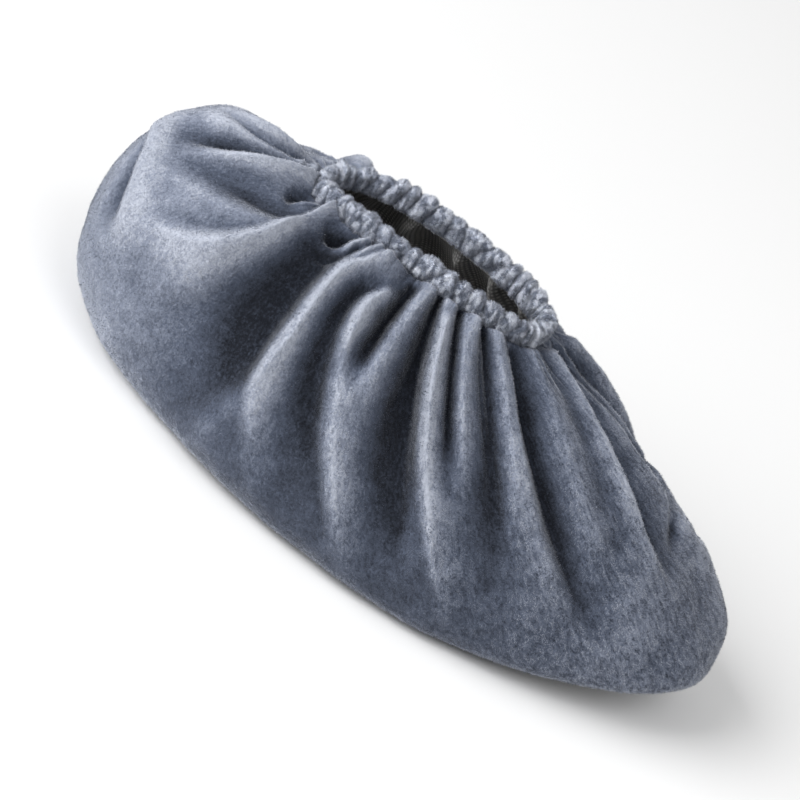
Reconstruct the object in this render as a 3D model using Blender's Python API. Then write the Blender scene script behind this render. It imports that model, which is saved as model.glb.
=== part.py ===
"""A reusable shoe cover: a gathered velvet upper with an elastic collar, on a thin flat sole.

The frame has +X to the toe, +Y to the left and +Z up, with the floor at zero.
A turn is an angle in degrees seen from above: 0 at the toe, 90 left, 180 heel, 270 right.
A rise runs up the wall of the upper: 0 at the edge of the sole, 1 at the rim of the collar.
"""

from collections import namedtuple

import bpy
import numpy as np

# Driving dimensions, in metres
SOLE_LENGTH = 0.276
SOLE_SQUARENESS = 0.87
SOLE_MIDDLE_X = 0.0046
SOLE_THICKNESS = 0.0025
SOLE_EDGE_LEAN = 0.001
TOE_SPRING = 0.020
TOE_BEND_X = 0.030
HEEL_SPRING = 0.005
HEEL_BEND_X = -0.090
INSOLE_THICKNESS = 0.001
INSOLE_INSET = 0.0025
WALL = 0.002
SEAM_LIFT = 0.0006
GAP = 0.0003

# Collar: a long slim oval whose rim is highest at the sides
COLLAR_MIDDLE_X = -0.0286
COLLAR_LENGTH = 0.102
COLLAR_WIDTH = 0.039
COLLAR_SQUARENESS = 0.8
RIM_SIDE_Z = 0.101
RIM_FRONT_Z = 0.098
RIM_BACK_Z = 0.095

# Casing of the elastic
CASING_HEIGHT = 0.0085
CASING_THICKNESS = 0.0050
CASING_SEAT = 0.0004
PUCKERS = 48
PUCKER_DEPTH = 0.0008
PUCKER_UNEVEN = 0.4
PUCKER_WAVES = (3, 7)

# Upright sections of the upper, each also used mirrored on the right.
# reach and lift aim the wall where it leaves the sole, swell and shoulder where it meets the collar.
Section = namedtuple("Section", "turn sole_half_width reach lift swell shoulder")
SECTIONS = (
    Section(0, 0.056, 0.034, 0.003, 0.088, 0.076),
    Section(45, 0.055, 0.026, 0.002, 0.052, 0.085),
    Section(90, 0.061, 0.033, 0.002, 0.034, 0.087),
    Section(135, 0.053, 0.030, 0.006, 0.058, 0.106),
    Section(180, 0.053, 0.036, 0.010, 0.074, 0.134),
)

# Folds of the upper, from the collar end through the middle to the low end.
# height is over 0 for a ridge and under 0 for a trough, and each width is from crest to foot.
# lean widens a fold on the left of its run, seen from outside, and narrows it on the right.
# rounding is small for a crisp crest and large for a soft one.
Fold = namedtuple("Fold", "height turn1 rise1 turn2 rise2 turn3 rise3 width1 width3 lean rounding")
RIGHT_FOLDS = (
    Fold(0.0035, 370, 0.94, 366, 0.80, 365, 0.62, 0.007, 0.012, -0.3, 0.30),
    Fold(-0.0040, 363, 0.96, 354, 0.80, 355, 0.56, 0.006, 0.010, 0.2, 0.20),
    Fold(0.0045, 356, 0.97, 346, 0.80, 347, 0.46, 0.009, 0.018, -0.5, 0.20),
    Fold(-0.0025, 341, 0.97, 336, 0.76, 337, 0.46, 0.008, 0.016, 0.0, 0.50),
    Fold(0.0030, 329, 0.98, 328, 0.78, 325, 0.46, 0.010, 0.020, 0.0, 0.60),
    Fold(-0.0070, 316, 0.975, 315, 0.70, 324, 0.24, 0.005, 0.014, 0.5, 0.12),
    Fold(0.0045, 305, 0.995, 306, 0.78, 313, 0.40, 0.009, 0.015, -0.2, 0.45),
    Fold(-0.0055, 297.5, 0.985, 301, 0.78, 300, 0.42, 0.003, 0.013, -0.3, 0.15),
    Fold(0.0030, 291.5, 0.995, 292, 0.80, 296, 0.60, 0.008, 0.009, 0.2, 0.50),
    Fold(-0.0055, 286.5, 0.985, 287.5, 0.80, 291, 0.58, 0.003, 0.009, -0.3, 0.15),
    Fold(0.0060, 281.5, 0.995, 282.5, 0.70, 291, 0.22, 0.008, 0.015, 0.4, 0.20),
    Fold(-0.0090, 277, 0.985, 278, 0.70, 279.5, 0.26, 0.003, 0.019, -0.4, 0.15),
    Fold(0.0040, 272.5, 0.995, 272, 0.82, 269, 0.62, 0.008, 0.010, 0.1, 0.50),
    Fold(-0.0065, 268.5, 0.95, 268.5, 0.80, 267.5, 0.63, 0.003, 0.008, -0.2, 0.25),
    Fold(0.0055, 266, 0.86, 264, 0.66, 274, 0.20, 0.008, 0.018, 0.5, 0.18),
    Fold(-0.0055, 260, 0.83, 260, 0.66, 267, 0.36, 0.006, 0.015, -0.5, 0.25),
    Fold(0.0070, 252.5, 0.95, 252.5, 0.66, 263, 0.26, 0.009, 0.018, 0.5, 0.15),
    Fold(-0.0120, 243, 0.95, 247, 0.68, 237, 0.28, 0.012, 0.032, -0.3, 0.35),
    Fold(0.0070, 226, 0.98, 229, 0.70, 208, 0.50, 0.011, 0.020, 0.5, 0.12),
    Fold(-0.0080, 229, 0.90, 211, 0.76, 186, 0.56, 0.008, 0.018, -0.2, 0.35),
    Fold(0.0060, 190, 0.98, 200, 0.85, 183, 0.60, 0.008, 0.018, 0.5, 0.12),
    Fold(-0.0065, 183, 0.97, 196, 0.84, 182, 0.64, 0.005, 0.011, -0.2, 0.20),
    Fold(0.0045, 177, 0.98, 184, 0.84, 177, 0.62, 0.006, 0.011, 0.2, 0.30),
    Fold(-0.0045, 171, 0.97, 175, 0.87, 169, 0.68, 0.005, 0.010, 0.0, 0.25),
    Fold(0.0040, 181, 0.64, 200, 0.53, 216, 0.36, 0.010, 0.016, 0.2, 0.40),
    Fold(-0.0035, 187, 0.56, 197, 0.49, 207, 0.33, 0.007, 0.012, 0.0, 0.40),
)
LEFT_FOLDS = (
    Fold(-0.0050, 12, 0.96, 14, 0.80, 12, 0.56, 0.005, 0.011, 0.0, 0.20),
    Fold(0.0035, 19, 0.98, 20, 0.78, 22, 0.52, 0.007, 0.012, 0.2, 0.40),
    Fold(-0.0065, 26, 0.97, 28, 0.76, 33, 0.42, 0.005, 0.013, -0.2, 0.20),
    Fold(0.0045, 35, 0.98, 37, 0.76, 42, 0.40, 0.007, 0.015, 0.2, 0.35),
    Fold(-0.0080, 44, 0.97, 46, 0.73, 51, 0.34, 0.004, 0.015, 0.0, 0.20),
    Fold(0.0035, 52, 0.98, 53, 0.76, 57, 0.48, 0.006, 0.011, -0.2, 0.40),
    Fold(-0.0055, 58, 0.97, 59, 0.79, 63, 0.50, 0.004, 0.010, 0.0, 0.20),
    Fold(0.0045, 66, 0.98, 67, 0.72, 70, 0.32, 0.006, 0.014, 0.2, 0.35),
    Fold(-0.0085, 73, 0.97, 74, 0.70, 76, 0.28, 0.004, 0.016, 0.0, 0.20),
    Fold(0.0035, 80, 0.98, 81, 0.76, 83, 0.46, 0.006, 0.011, 0.0, 0.40),
    Fold(-0.0055, 87, 0.97, 87, 0.81, 88, 0.54, 0.004, 0.010, 0.0, 0.20),
    Fold(0.0060, 94, 0.98, 95, 0.70, 98, 0.16, 0.006, 0.016, -0.2, 0.35),
    Fold(-0.0080, 101, 0.97, 103, 0.72, 106, 0.32, 0.004, 0.016, 0.0, 0.20),
    Fold(0.0035, 109, 0.98, 110, 0.76, 110, 0.48, 0.006, 0.012, 0.0, 0.40),
    Fold(-0.0060, 117, 0.97, 117, 0.78, 115, 0.48, 0.005, 0.012, 0.0, 0.20),
    Fold(0.0050, 126, 0.98, 125, 0.70, 122, 0.32, 0.007, 0.015, 0.2, 0.35),
    Fold(-0.0085, 136, 0.97, 134, 0.70, 129, 0.32, 0.005, 0.018, 0.0, 0.20),
    Fold(0.0040, 147, 0.98, 143, 0.76, 136, 0.46, 0.006, 0.013, 0.0, 0.35),
    Fold(-0.0060, 157, 0.97, 153, 0.78, 147, 0.48, 0.005, 0.014, 0.0, 0.25),
    Fold(0.0035, 165, 0.98, 162, 0.84, 158, 0.62, 0.006, 0.011, 0.0, 0.35),
)
FOLDS = RIGHT_FOLDS + LEFT_FOLDS
FOLD_SEGMENTS = 12
FOLD_FADE_START = 0.6
FOLD_SHARPNESS = 1.5
LEAST_ROUNDING = 0.35

# Least width of a fold at the sole and at the rim
LEAST_WIDTH_LOW = 0.018
LEAST_WIDTH_HIGH = 0.005

# Where along the rise the folds die out at the sole and at the rim
FOLD_FOOT = (0.03, 0.16)
FOLD_HEAD = (0.91, 0.975)

# Steps for slopes and lengths, in degrees of turn and in rise
TURN_STEP = 0.5
RISE_STEP = 0.01
FINE_STEPS = 1440

# Mesh resolution
WALL_COLUMNS = 150
EVEN_RISE = 0.8
PLATE_STATIONS = 40
PLATE_END_TURN = 2.0
WALL_RISES = (0.0, 0.05, 0.12, 0.20, 0.29, 0.38, 0.47, 0.56, 0.64, 0.72, 0.79, 0.85, 0.91, 0.96, 1.0)
CASING_COLUMNS_PER_PUCKER = 3
CASING_SIDES = 8
CASING_SQUARENESS = 0.65

VELVET_COLOUR = (0.110, 0.144, 0.216, 1.0)
CASING_COLOUR = (0.130, 0.168, 0.245, 1.0)
SOLE_COLOUR = (0.012, 0.012, 0.014, 1.0)
INSOLE_COLOUR = (0.040, 0.038, 0.038, 1.0)


def ease(value, start, end):
    """0 before start, 1 after end and a smooth step between them."""
    share = np.clip((value - start) / (end - start), 0.0, 1.0)
    return share * share * (3.0 - 2.0 * share)


def squared(value, power):
    """A sine or cosine raised to a power under 1, which squares an oval off, with its sign kept."""
    return np.sign(value) * np.abs(value) ** power


def section_value(turn, column):
    """A column of the section table at any turn, on a smooth curve through its rows."""
    rows = np.array([getattr(section, column) for section in SECTIONS])
    last = len(rows) - 1
    folded = np.abs((turn + 180.0) % 360.0 - 180.0) / SECTIONS[1].turn
    row = np.clip(np.floor(folded).astype(int), 0, last - 1)
    share = folded - row
    before = rows[np.abs(row - 1)]
    here = rows[row]
    there = rows[row + 1]
    after = rows[last - np.abs(last - row - 2)]
    slope = there - before
    bend = 2.0 * before - 5.0 * here + 4.0 * there - after
    twist = 3.0 * here - before - 3.0 * there + after
    return here + 0.5 * share * (slope + share * (bend + share * twist))


def floor_height(x):
    """Height of the underside of the sole over the floor: flat, and sprung up at toe and heel."""
    toe_end = SOLE_MIDDLE_X + SOLE_LENGTH / 2
    heel_end = SOLE_MIDDLE_X - SOLE_LENGTH / 2
    toe = np.clip((x - TOE_BEND_X) / (toe_end - TOE_BEND_X), 0.0, 1.0)
    heel = np.clip((x - HEEL_BEND_X) / (heel_end - HEEL_BEND_X), 0.0, 1.0)
    return TOE_SPRING * toe**2 + HEEL_SPRING * heel**2


def sole_edge(turn, inset=0.0, height=0.0):
    """Outline of the sole, drawn in by inset, at a height over its underside."""
    angle = np.radians(turn)
    x = SOLE_MIDDLE_X + (SOLE_LENGTH / 2 - inset) * squared(np.cos(angle), SOLE_SQUARENESS)
    y = (section_value(turn, "sole_half_width") - inset) * squared(np.sin(angle), SOLE_SQUARENESS)
    return np.stack([x, y, floor_height(x) + height], axis=-1)


def collar_rim(turn):
    """Outer edge of the upper at the collar."""
    angle = np.radians(turn)
    x = COLLAR_MIDDLE_X + COLLAR_LENGTH / 2 * squared(np.cos(angle), COLLAR_SQUARENESS)
    y = COLLAR_WIDTH / 2 * squared(np.sin(angle), COLLAR_SQUARENESS)
    end_z = (RIM_FRONT_Z + RIM_BACK_Z) / 2 + (RIM_FRONT_Z - RIM_BACK_Z) / 2 * np.cos(angle)
    z = end_z + (RIM_SIDE_Z - end_z) * np.sin(angle) ** 2
    return np.stack([x, y, z], axis=-1)


def smooth_wall(turn, rise):
    """Outer face of the upper without its folds: an upright Bezier curve at each turn."""
    turn, rise = np.broadcast_arrays(np.asarray(turn, float), np.asarray(rise, float))
    angle = np.radians(turn)
    outward = np.stack([np.cos(angle), np.sin(angle), np.zeros_like(angle)], axis=-1)
    low = sole_edge(turn, height=SEAM_LIFT)
    high = collar_rim(turn)
    low_aim = low + outward * section_value(turn, "reach")[..., None]
    low_aim[..., 2] += section_value(turn, "lift")
    high_aim = high + outward * section_value(turn, "swell")[..., None]
    high_aim[..., 2] = section_value(turn, "shoulder")
    up = rise[..., None]
    down = 1.0 - up
    return down**3 * low + 3 * down**2 * up * low_aim + 3 * down * up**2 * high_aim + up**3 * high


def wall_normal(turn, rise):
    """Outward normal of the smooth wall."""
    along = smooth_wall(turn + TURN_STEP, rise) - smooth_wall(turn - TURN_STEP, rise)
    above = np.minimum(rise + RISE_STEP, 1.0)
    below = np.maximum(rise - RISE_STEP, 0.0)
    normal = np.cross(along, smooth_wall(turn, above) - smooth_wall(turn, below))
    return normal / np.linalg.norm(normal, axis=-1, keepdims=True)


def fold_line(fold):
    """Points of a fold's line on the smooth wall, through its three places."""
    share = np.linspace(0.0, 1.0, FOLD_SEGMENTS + 1)
    first = (1.0 - share) * (1.0 - 2.0 * share)
    middle = 4.0 * share * (1.0 - share)
    third = share * (2.0 * share - 1.0)
    turn = fold.turn1 * first + fold.turn2 * middle + fold.turn3 * third
    rise = fold.rise1 * first + fold.rise2 * middle + fold.rise3 * third
    return smooth_wall(turn, rise)


def distance_to_line(points, normals, line):
    """Distance of each point from a line, the share of the line passed there, and the side: 1 is left."""
    nearest = np.full(points.shape[:-1], np.inf)
    passed = np.zeros(points.shape[:-1])
    side = np.zeros(points.shape[:-1])
    for index, (start, end) in enumerate(zip(line[:-1], line[1:])):
        run = end - start
        away = points - start
        share = np.clip(away @ run / (run @ run), 0.0, 1.0)
        distance = np.linalg.norm(away - share[..., None] * run, axis=-1)
        closer = distance < nearest
        nearest = np.where(closer, distance, nearest)
        passed = np.where(closer, (index + share) / (len(line) - 1), passed)
        side = np.where(closer, np.sign(np.sum(np.cross(run, away) * normals, axis=-1)), side)
    return nearest, passed, side


def softened(relief):
    """A grid averaged with its neighbours, so that the coarse mesh carries it without steps."""
    relief = (np.roll(relief, 1, axis=1) + 2.0 * relief + np.roll(relief, -1, axis=1)) / 4.0
    padded = np.pad(relief, ((1, 1), (0, 0)), mode="edge")
    return (padded[:-2] + 2.0 * padded[1:-1] + padded[2:]) / 4.0


def fold_relief(points, normals, rise):
    """How far the folds lift or sink the wall at each point."""
    relief = np.zeros(points.shape[:-1])
    least_width = LEAST_WIDTH_LOW + (LEAST_WIDTH_HIGH - LEAST_WIDTH_LOW) * rise
    for fold in FOLDS:
        distance, passed, side = distance_to_line(points, normals, fold_line(fold))
        width = (fold.width1 + (fold.width3 - fold.width1) * passed) * (1.0 + fold.lean * side)
        rounding = max(fold.rounding, LEAST_ROUNDING)
        offset = np.hypot(distance / np.maximum(width, least_width), rounding)
        profile = (np.clip(1.0 - offset, 0.0, 1.0) / (1.0 - rounding)) ** FOLD_SHARPNESS
        relief += fold.height * profile * (1.0 - ease(passed, FOLD_FADE_START, 1.0))
    return softened(relief) * ease(rise, *FOLD_FOOT) * (1.0 - ease(rise, *FOLD_HEAD))


def even_turns(count, curve):
    """Turns that divide a closed curve round the cover into equal lengths."""
    fine = np.linspace(0.0, 360.0, FINE_STEPS + 1)
    steps = np.linalg.norm(np.diff(curve(fine), axis=0), axis=-1)
    lengths = np.concatenate([[0.0], np.cumsum(steps)])
    return np.interp(np.linspace(0.0, lengths[-1], count, endpoint=False), lengths, fine)


def wall_rings():
    """Rings of the upper: up its folded outer face and back down its inner face."""
    turns = even_turns(WALL_COLUMNS, lambda turn: smooth_wall(turn, EVEN_RISE))
    turn, rise = np.meshgrid(turns, np.array(WALL_RISES))
    points = smooth_wall(turn, rise)
    normals = wall_normal(turn, rise)
    relief = fold_relief(points, normals, rise)[..., None]
    outer = points + relief * normals
    inner = points + (relief - WALL) * normals
    return np.concatenate([outer, inner[::-1]])


def casing_rings():
    """Closed sections of the casing round the collar, swelling and drawing in at each pucker."""
    columns = PUCKERS * CASING_COLUMNS_PER_PUCKER
    turns = even_turns(columns, collar_rim)
    rim = collar_rim(turns)
    run = collar_rim(turns + TURN_STEP) - collar_rim(turns - TURN_STEP)
    outward = np.stack([run[:, 1], -run[:, 0], np.zeros(columns)], axis=-1)
    outward /= np.linalg.norm(outward, axis=-1, keepdims=True)
    share = np.arange(columns) / columns
    slow, fast = (np.sin(2 * np.pi * waves * share) for waves in PUCKER_WAVES)
    swell = PUCKER_DEPTH * (1.0 + PUCKER_UNEVEN * slow * fast) * np.cos(2 * np.pi * PUCKERS * share)
    rings = []
    for side in range(CASING_SIDES):
        angle = 2 * np.pi * side / CASING_SIDES
        across = squared(np.cos(angle), CASING_SQUARENESS)
        upward = squared(np.sin(angle), CASING_SQUARENESS)
        out = across * (CASING_THICKNESS / 2 + swell) - CASING_SEAT
        top_swell = np.maximum(upward, 0.0) * swell
        height = GAP + CASING_HEIGHT / 2 * (1.0 + upward) + top_swell
        ring = rim + outward * out[:, None]
        ring[:, 2] += height
        rings.append(ring)
    return np.stack(rings)


def plate_rings(bottom, bottom_inset, top, top_inset):
    """Four-cornered sections of a plate that follows the sole, from heel to toe."""
    left = np.linspace(180.0 - PLATE_END_TURN, PLATE_END_TURN, PLATE_STATIONS)
    corners = (
        sole_edge(-left, bottom_inset, bottom),
        sole_edge(left, bottom_inset, bottom),
        sole_edge(left, top_inset, top),
        sole_edge(-left, top_inset, top),
    )
    return np.stack(corners, axis=1)


def lofted_mesh(name, rings, close_rows=False, cap=False):
    """A mesh of quads between closed rings, joined last to first or capped where asked."""
    rows, columns = rings.shape[:2]
    faces = []
    for row in range(rows if close_rows else rows - 1):
        below = row * columns
        above = (row + 1) % rows * columns
        for column in range(columns):
            beside = (column + 1) % columns
            faces.append((below + column, below + beside, above + beside, above + column))
    if cap:
        faces.append(tuple(reversed(range(columns))))
        faces.append(tuple(range((rows - 1) * columns, rows * columns)))
    mesh = bpy.data.meshes.new(name)
    mesh.from_pydata(rings.reshape(-1, 3).tolist(), [], faces)
    mesh.validate()
    return mesh


def plain_material(name, colour, roughness):
    material = bpy.data.materials.new(name)
    material.use_nodes = True
    shader = material.node_tree.nodes["Principled BSDF"]
    shader.inputs["Base Color"].default_value = colour
    shader.inputs["Roughness"].default_value = roughness
    shader.inputs["Metallic"].default_value = 0.0
    return material


def add_part(name, mesh, material, collection, parent):
    part = bpy.data.objects.new(name, mesh)
    part.parent = parent
    mesh.materials.append(material)
    collection.objects.link(part)
    return part


def add_upper(collection, parent):
    """The velvet wall, open at the collar and underneath."""
    mesh = lofted_mesh("upper", wall_rings(), close_rows=True)
    mesh.shade_smooth()
    material = plain_material("velvet", VELVET_COLOUR, 0.9)
    add_part("upper", mesh, material, collection, parent)


def add_collar_casing(collection, parent):
    """The gathered tube of the elastic, standing on the rim of the upper."""
    mesh = lofted_mesh("collar_casing", casing_rings(), close_rows=True)
    mesh.shade_smooth()
    material = plain_material("casing_velvet", CASING_COLOUR, 0.95)
    add_part("collar_casing", mesh, material, collection, parent)


def add_sole(collection, parent):
    """The non-slip sheet, flat under heel and ball, its side leaning in under the turned-in velvet."""
    rings = plate_rings(0.0, GAP, SOLE_THICKNESS, GAP + SOLE_EDGE_LEAN)
    mesh = lofted_mesh("sole", rings, cap=True)
    material = plain_material("sole_rubber", SOLE_COLOUR, 0.7)
    add_part("sole", mesh, material, collection, parent)


def add_insole(collection, parent):
    """The woven ply on the sole, inside the upper."""
    bottom = SOLE_THICKNESS + GAP
    rings = plate_rings(bottom, INSOLE_INSET, bottom + INSOLE_THICKNESS, INSOLE_INSET)
    mesh = lofted_mesh("insole", rings, cap=True)
    material = plain_material("woven_backing", INSOLE_COLOUR, 0.95)
    add_part("insole", mesh, material, collection, parent)


def main():
    for old in list(bpy.data.objects):
        bpy.data.objects.remove(old, do_unlink=True)
    collection = bpy.data.collections.new("reusable_shoe_cover")
    bpy.context.scene.collection.children.link(collection)
    cover = bpy.data.objects.new("cover_origin", None)
    collection.objects.link(cover)
    add_upper(collection, cover)
    add_collar_casing(collection, cover)
    add_sole(collection, cover)
    add_insole(collection, cover)


main()
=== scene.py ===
"""Looks of a reusable shoe cover: blue-grey velvet gathered into an elastic casing, on a thin grip sole.

The frame has +X to the toe, +Y to the left and +Z up, with the floor at zero, in metres.
A turn is an angle in degrees seen from above: 0 at the toe, 90 left, 180 heel, 270 right.
A rise runs up the wall of the upper: 0 at the edge of the sole, 1 at the rim of the collar.
"""

from collections import namedtuple

import bpy
import numpy as np
from mathutils import Matrix, Vector


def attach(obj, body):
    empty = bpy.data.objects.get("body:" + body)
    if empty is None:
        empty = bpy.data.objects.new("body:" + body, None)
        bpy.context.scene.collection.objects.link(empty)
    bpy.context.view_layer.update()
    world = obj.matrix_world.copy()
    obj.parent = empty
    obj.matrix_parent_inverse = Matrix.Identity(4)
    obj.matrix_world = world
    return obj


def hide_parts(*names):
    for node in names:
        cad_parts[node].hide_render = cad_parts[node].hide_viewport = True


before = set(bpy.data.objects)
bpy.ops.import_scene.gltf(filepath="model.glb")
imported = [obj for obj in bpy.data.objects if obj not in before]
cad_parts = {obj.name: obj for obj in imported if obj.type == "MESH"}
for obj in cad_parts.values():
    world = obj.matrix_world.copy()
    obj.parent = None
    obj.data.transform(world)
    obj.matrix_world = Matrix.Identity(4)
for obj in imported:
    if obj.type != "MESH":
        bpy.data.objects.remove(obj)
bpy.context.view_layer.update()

# Form of the cover, with the same sizes as its solids
SOLE_LENGTH = 0.276
SOLE_SQUARENESS = 0.87
SOLE_MIDDLE_X = 0.0046
TOE_SPRING = 0.020
TOE_BEND_X = 0.030
HEEL_SPRING = 0.005
HEEL_BEND_X = -0.090
SEAM_LIFT = 0.0006
GAP = 0.0003
COLLAR_MIDDLE_X = -0.0286
COLLAR_LENGTH = 0.102
COLLAR_WIDTH = 0.039
COLLAR_SQUARENESS = 0.8
RIM_SIDE_Z = 0.101
RIM_FRONT_Z = 0.098
RIM_BACK_Z = 0.095
CASING_HEIGHT = 0.0085
CASING_THICKNESS = 0.0050
CASING_SEAT = 0.0004
CASING_SQUARENESS = 0.65

# Upright sections of the upper, each also used mirrored on the right
Section = namedtuple("Section", "turn sole_half_width reach lift swell shoulder")
SECTIONS = (
    Section(0, 0.056, 0.034, 0.003, 0.088, 0.076),
    Section(45, 0.055, 0.026, 0.002, 0.052, 0.085),
    Section(90, 0.061, 0.033, 0.002, 0.034, 0.087),
    Section(135, 0.053, 0.030, 0.006, 0.058, 0.106),
    Section(180, 0.053, 0.036, 0.010, 0.074, 0.134),
)

# Folds of the upper, from the collar end through the middle to the low end.
# height is over 0 for a ridge and under 0 for a trough, and each width is from crest to foot.
# lean widens a fold on the left of its run, seen from outside, and narrows it on the right.
# rounding is small for a crisp crest and large for a soft one, and from FULL_ROUNDING on for a full tube.
Fold = namedtuple("Fold", "height turn1 rise1 turn2 rise2 turn3 rise3 width1 width3 lean rounding")
RIGHT_FOLDS = (
    Fold(0.0022, 375, 0.92, 369, 0.70, 369, 0.42, 0.008, 0.014, -0.4, 0.15),
    Fold(-0.0050, 362, 0.96, 352, 0.76, 351, 0.50, 0.007, 0.013, 0.5, 0.15),
    Fold(0.0050, 359, 0.97, 348, 0.77, 348, 0.46, 0.009, 0.018, -0.5, 0.15),
    Fold(-0.0025, 347, 0.97, 340, 0.78, 338, 0.50, 0.008, 0.016, 0.0, 0.50),
    Fold(0.0035, 338, 0.98, 331, 0.76, 326, 0.46, 0.010, 0.020, 0.0, 0.50),
    Fold(-0.0070, 321, 0.96, 316.5, 0.66, 326, 0.26, 0.005, 0.015, 0.5, 0.12),
    Fold(0.0045, 310, 0.995, 309, 0.76, 315, 0.40, 0.0070, 0.014, -0.1, 0.65),
    Fold(-0.0060, 302.5, 0.985, 303.5, 0.76, 299.5, 0.34, 0.0025, 0.016, -0.3, 0.15),
    Fold(0.0050, 296.5, 0.995, 295.7, 0.80, 299, 0.48, 0.0070, 0.013, 0.0, 0.65),
    Fold(-0.0060, 289.8, 0.985, 290, 0.80, 293, 0.52, 0.0025, 0.010, -0.4, 0.15),
    Fold(0.0045, 285, 0.995, 285, 0.82, 286, 0.52, 0.0065, 0.009, 0.0, 0.65),
    Fold(0.0060, 284.5, 0.90, 285.5, 0.63, 293, 0.18, 0.008, 0.015, 0.6, 0.18),
    Fold(-0.0100, 280.5, 0.98, 280.7, 0.70, 282, 0.24, 0.0025, 0.020, -0.5, 0.15),
    Fold(0.0045, 275, 0.995, 274, 0.82, 271, 0.56, 0.0070, 0.011, 0.0, 0.60),
    Fold(-0.0070, 271.5, 0.94, 269.5, 0.79, 268, 0.62, 0.0035, 0.009, -0.2, 0.25),
    Fold(0.0035, 268.5, 0.88, 265.3, 0.82, 263.8, 0.68, 0.006, 0.010, 0.3, 0.30),
    Fold(0.0068, 264, 0.82, 268.5, 0.57, 277, 0.14, 0.011, 0.020, 0.52, 0.30),
    Fold(-0.0065, 263.5, 0.86, 261.3, 0.68, 271, 0.28, 0.007, 0.018, -0.5, 0.25),
    Fold(0.0080, 259, 0.96, 253, 0.66, 263.8, 0.22, 0.012, 0.023, 0.55, 0.32),
    Fold(-0.0100, 244, 0.93, 250, 0.70, 247, 0.34, 0.013, 0.028, -0.6, 0.30),
    Fold(-0.0055, 246, 0.82, 248, 0.50, 236, 0.02, 0.016, 0.040, -0.5, 0.45),
    Fold(0.0080, 227, 0.98, 231, 0.72, 209, 0.50, 0.010, 0.020, 0.6, 0.10),
    Fold(-0.0080, 230, 0.90, 211, 0.76, 188, 0.57, 0.008, 0.018, -0.2, 0.35),
    Fold(-0.0045, 213, 0.95, 208.5, 0.86, 195, 0.66, 0.007, 0.014, -0.3, 0.40),
    Fold(0.0070, 190, 0.975, 200.5, 0.85, 185, 0.54, 0.006, 0.016, 0.6, 0.12),
    Fold(-0.0130, 186, 0.965, 195.5, 0.85, 188, 0.54, 0.0035, 0.014, -0.3, 0.15),
    Fold(0.0050, 180, 0.97, 189.5, 0.86, 181, 0.64, 0.0045, 0.010, 0.2, 0.30),
    Fold(-0.0045, 175, 0.965, 185, 0.875, 180, 0.72, 0.0028, 0.006, 0.0, 0.20),
    Fold(0.0035, 170, 0.965, 181, 0.885, 177, 0.70, 0.004, 0.009, 0.2, 0.30),
    Fold(-0.0040, 164, 0.96, 175, 0.89, 172, 0.72, 0.0028, 0.007, 0.0, 0.20),
    Fold(0.0040, 180, 0.60, 200, 0.53, 217, 0.40, 0.009, 0.016, 0.3, 0.30),
    Fold(-0.0035, 189, 0.55, 198, 0.49, 206, 0.34, 0.007, 0.012, 0.0, 0.40),
    Fold(-0.0006, 335.5, 0.36, 335.5, 0.24, 335.5, 0.08, 0.004, 0.004, 0.0, 0.30),
)
LEFT_FOLDS = (
    Fold(-0.0050, 12, 0.96, 14, 0.80, 12, 0.56, 0.005, 0.011, 0.0, 0.20),
    Fold(0.0012, 19, 0.91, 20, 0.78, 22, 0.52, 0.007, 0.012, 0.2, 0.40),
    Fold(-0.0065, 26, 0.91, 28, 0.76, 33, 0.42, 0.005, 0.013, -0.2, 0.20),
    Fold(0.0045, 35, 0.91, 37, 0.76, 42, 0.40, 0.007, 0.015, 0.2, 0.35),
    Fold(-0.0080, 44, 0.91, 46, 0.73, 51, 0.34, 0.004, 0.015, 0.0, 0.20),
    Fold(0.0035, 52, 0.91, 53, 0.76, 57, 0.48, 0.006, 0.011, -0.2, 0.40),
    Fold(-0.0055, 58, 0.91, 59, 0.79, 63, 0.50, 0.004, 0.010, 0.0, 0.20),
    Fold(0.0045, 66, 0.91, 67, 0.72, 70, 0.32, 0.006, 0.014, 0.2, 0.35),
    Fold(-0.0085, 73, 0.91, 74, 0.70, 76, 0.28, 0.004, 0.016, 0.0, 0.20),
    Fold(0.0035, 80, 0.91, 81, 0.76, 83, 0.46, 0.006, 0.011, 0.0, 0.40),
    Fold(-0.0055, 87, 0.91, 87, 0.81, 88, 0.54, 0.004, 0.010, 0.0, 0.20),
    Fold(0.0060, 94, 0.91, 95, 0.70, 98, 0.16, 0.006, 0.016, -0.2, 0.35),
    Fold(-0.0080, 101, 0.91, 103, 0.72, 106, 0.32, 0.004, 0.016, 0.0, 0.20),
    Fold(0.0035, 109, 0.91, 110, 0.76, 110, 0.48, 0.006, 0.012, 0.0, 0.40),
    Fold(-0.0060, 117, 0.91, 117, 0.78, 115, 0.48, 0.005, 0.012, 0.0, 0.20),
    Fold(0.0050, 126, 0.91, 125, 0.70, 122, 0.32, 0.007, 0.015, 0.2, 0.35),
    Fold(-0.0085, 136, 0.91, 134, 0.70, 129, 0.32, 0.005, 0.018, 0.0, 0.20),
    Fold(-0.0090, 161, 0.91, 160, 0.82, 156, 0.56, 0.010, 0.022, 0.0, 0.50),
    Fold(-0.0050, 149, 0.91, 148, 0.82, 145, 0.56, 0.008, 0.018, 0.0, 0.50),
)

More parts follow.
